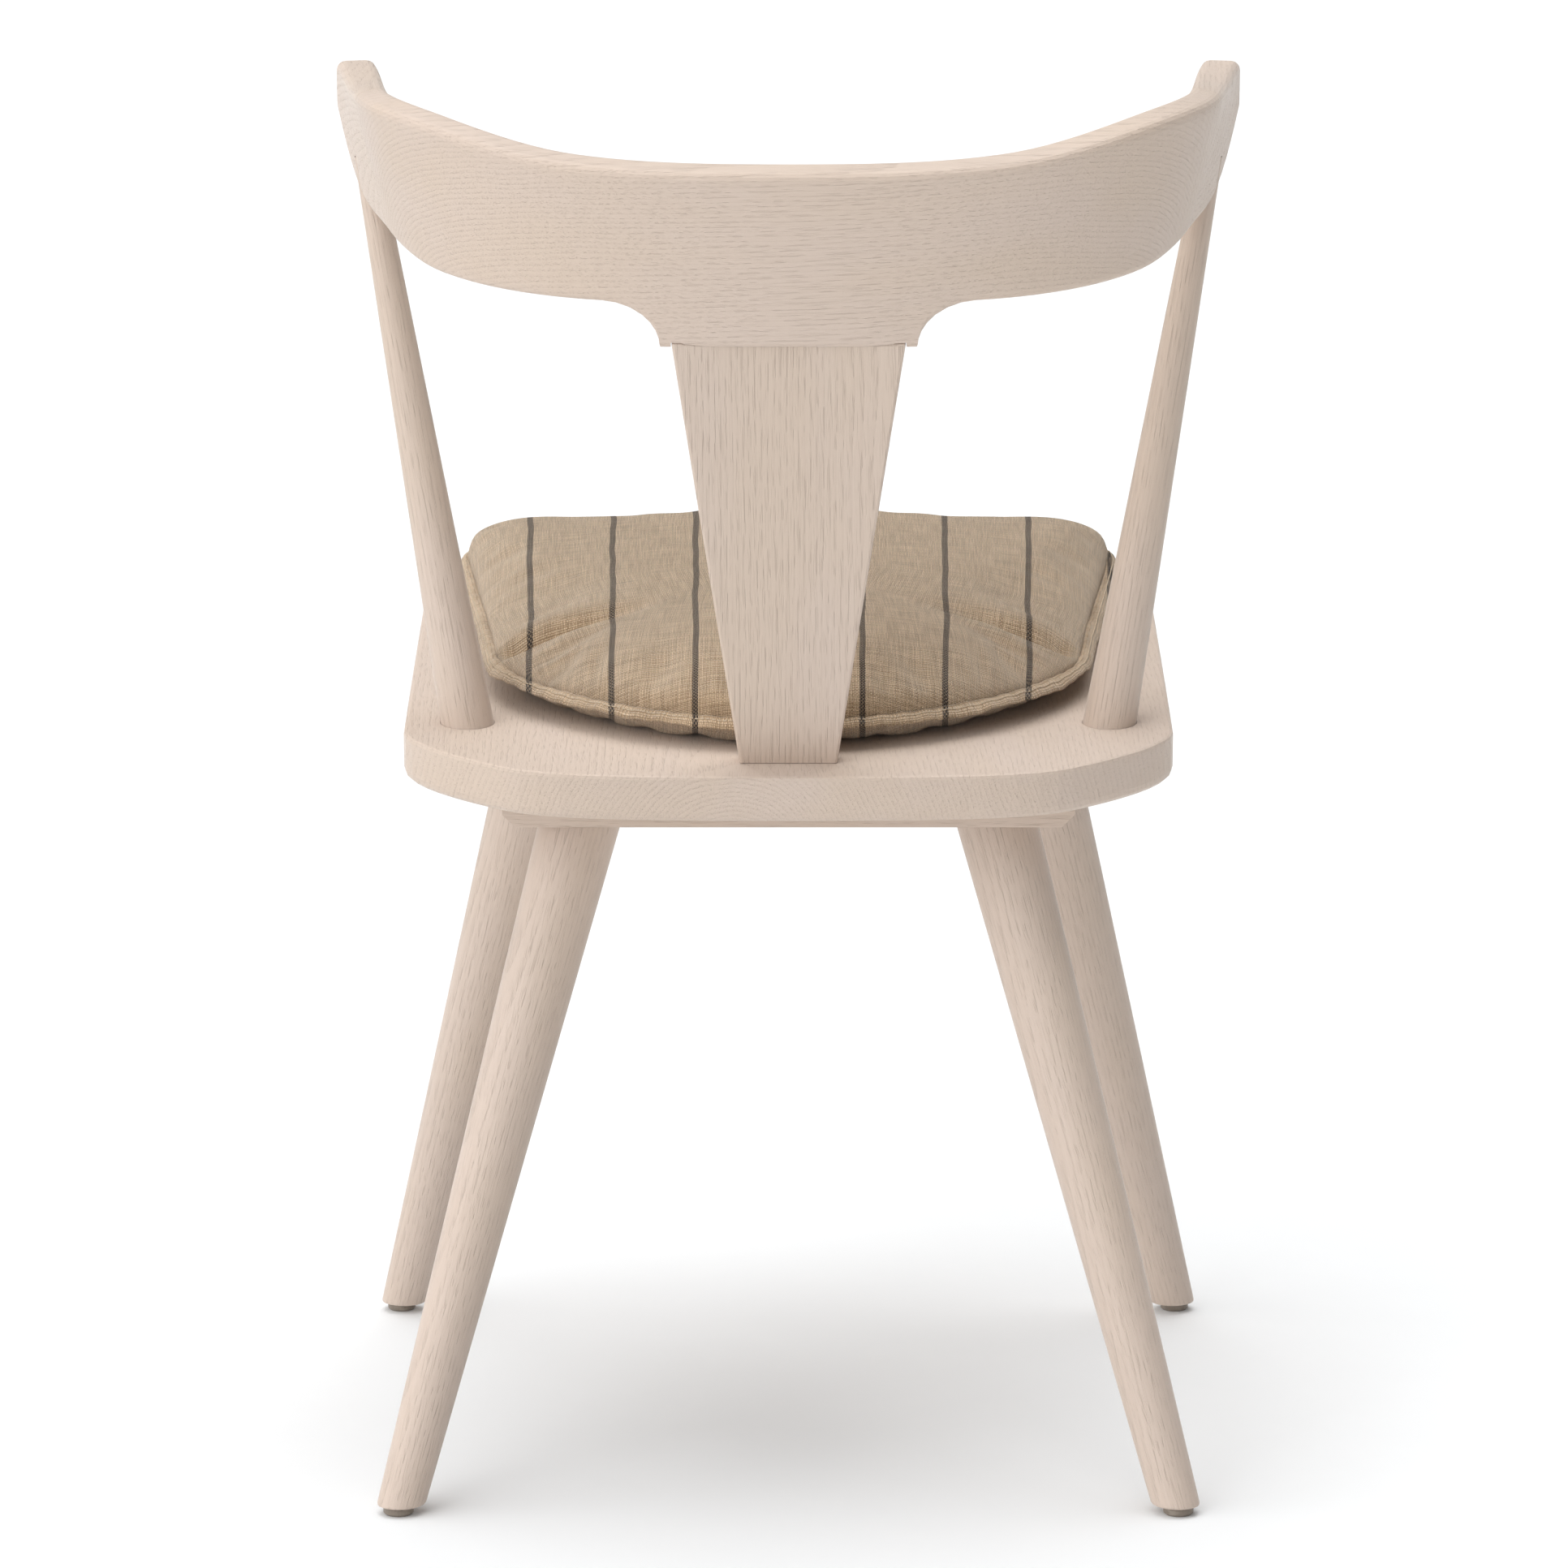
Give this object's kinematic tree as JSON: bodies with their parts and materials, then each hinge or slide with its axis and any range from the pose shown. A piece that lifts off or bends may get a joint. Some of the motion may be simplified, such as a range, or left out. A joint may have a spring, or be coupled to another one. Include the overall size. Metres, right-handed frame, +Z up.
{
  "type": "wooden armchair",
  "caption": "Open-framed wooden armchair with a curved back rail that runs forward into short arms, a tapered splat, splayed round legs and a loose striped linen cushion.",
  "frame": {"origin": "on the floor, under the middle of the overall box", "axes": "+Z up; -Y is the way the sitter faces, so the back rail is at +Y; +X is the sitter's left"},
  "size_m": [0.532, 0.5376, 0.8091],
  "materials": {
    "oak": "matte whitewashed",
    "beech": "raw",
    "nylon": "matte",
    "steel": "satin",
    "linen": "plain weave with thin dark stripes",
    "fibre": "soft"
  },
  "bodies": {
    "frame": {"seat": "oak", "rear_batten": "oak", "front_batten": "oak", "leg_rear_left": "oak", "glide_rear_left": "nylon", "glide_nail_rear_left": "steel", "leg_rear_right": "oak", "glide_rear_right": "nylon", "glide_nail_rear_right": "steel", "leg_front_left": "oak", "glide_front_left": "nylon", "glide_nail_front_left": "steel", "leg_front_right": "oak", "glide_front_right": "nylon", "glide_nail_front_right": "steel", "rear_batten_screw_inner_left": "steel", "rear_batten_screw_inner_right": "steel", "rear_batten_screw_outer_left": "steel", "rear_batten_screw_outer_right": "steel", "front_batten_screw_inner_left": "steel", "front_batten_screw_inner_right": "steel", "front_batten_screw_outer_left": "steel", "front_batten_screw_outer_right": "steel", "back_rail": "oak", "arm_left": "oak", "arm_right": "oak", "arm_dowel_left_lower": "beech", "arm_dowel_left_upper": "beech", "arm_dowel_right_lower": "beech", "arm_dowel_right_upper": "beech", "post_left": "oak", "post_screw_left": "steel", "post_right": "oak", "post_screw_right": "steel", "back_splat": "oak"},
    "cushion": {"cushion_cover_top": "linen", "cushion_cover_bottom": "linen", "cushion_insert": "fibre"}
  },
  "joints": [
    {"name": "cushion_lift", "type": "slide", "parent": "frame", "child": "cushion", "axis": [0, 0, 1], "range_m": [0, 0.3]}
  ]
}
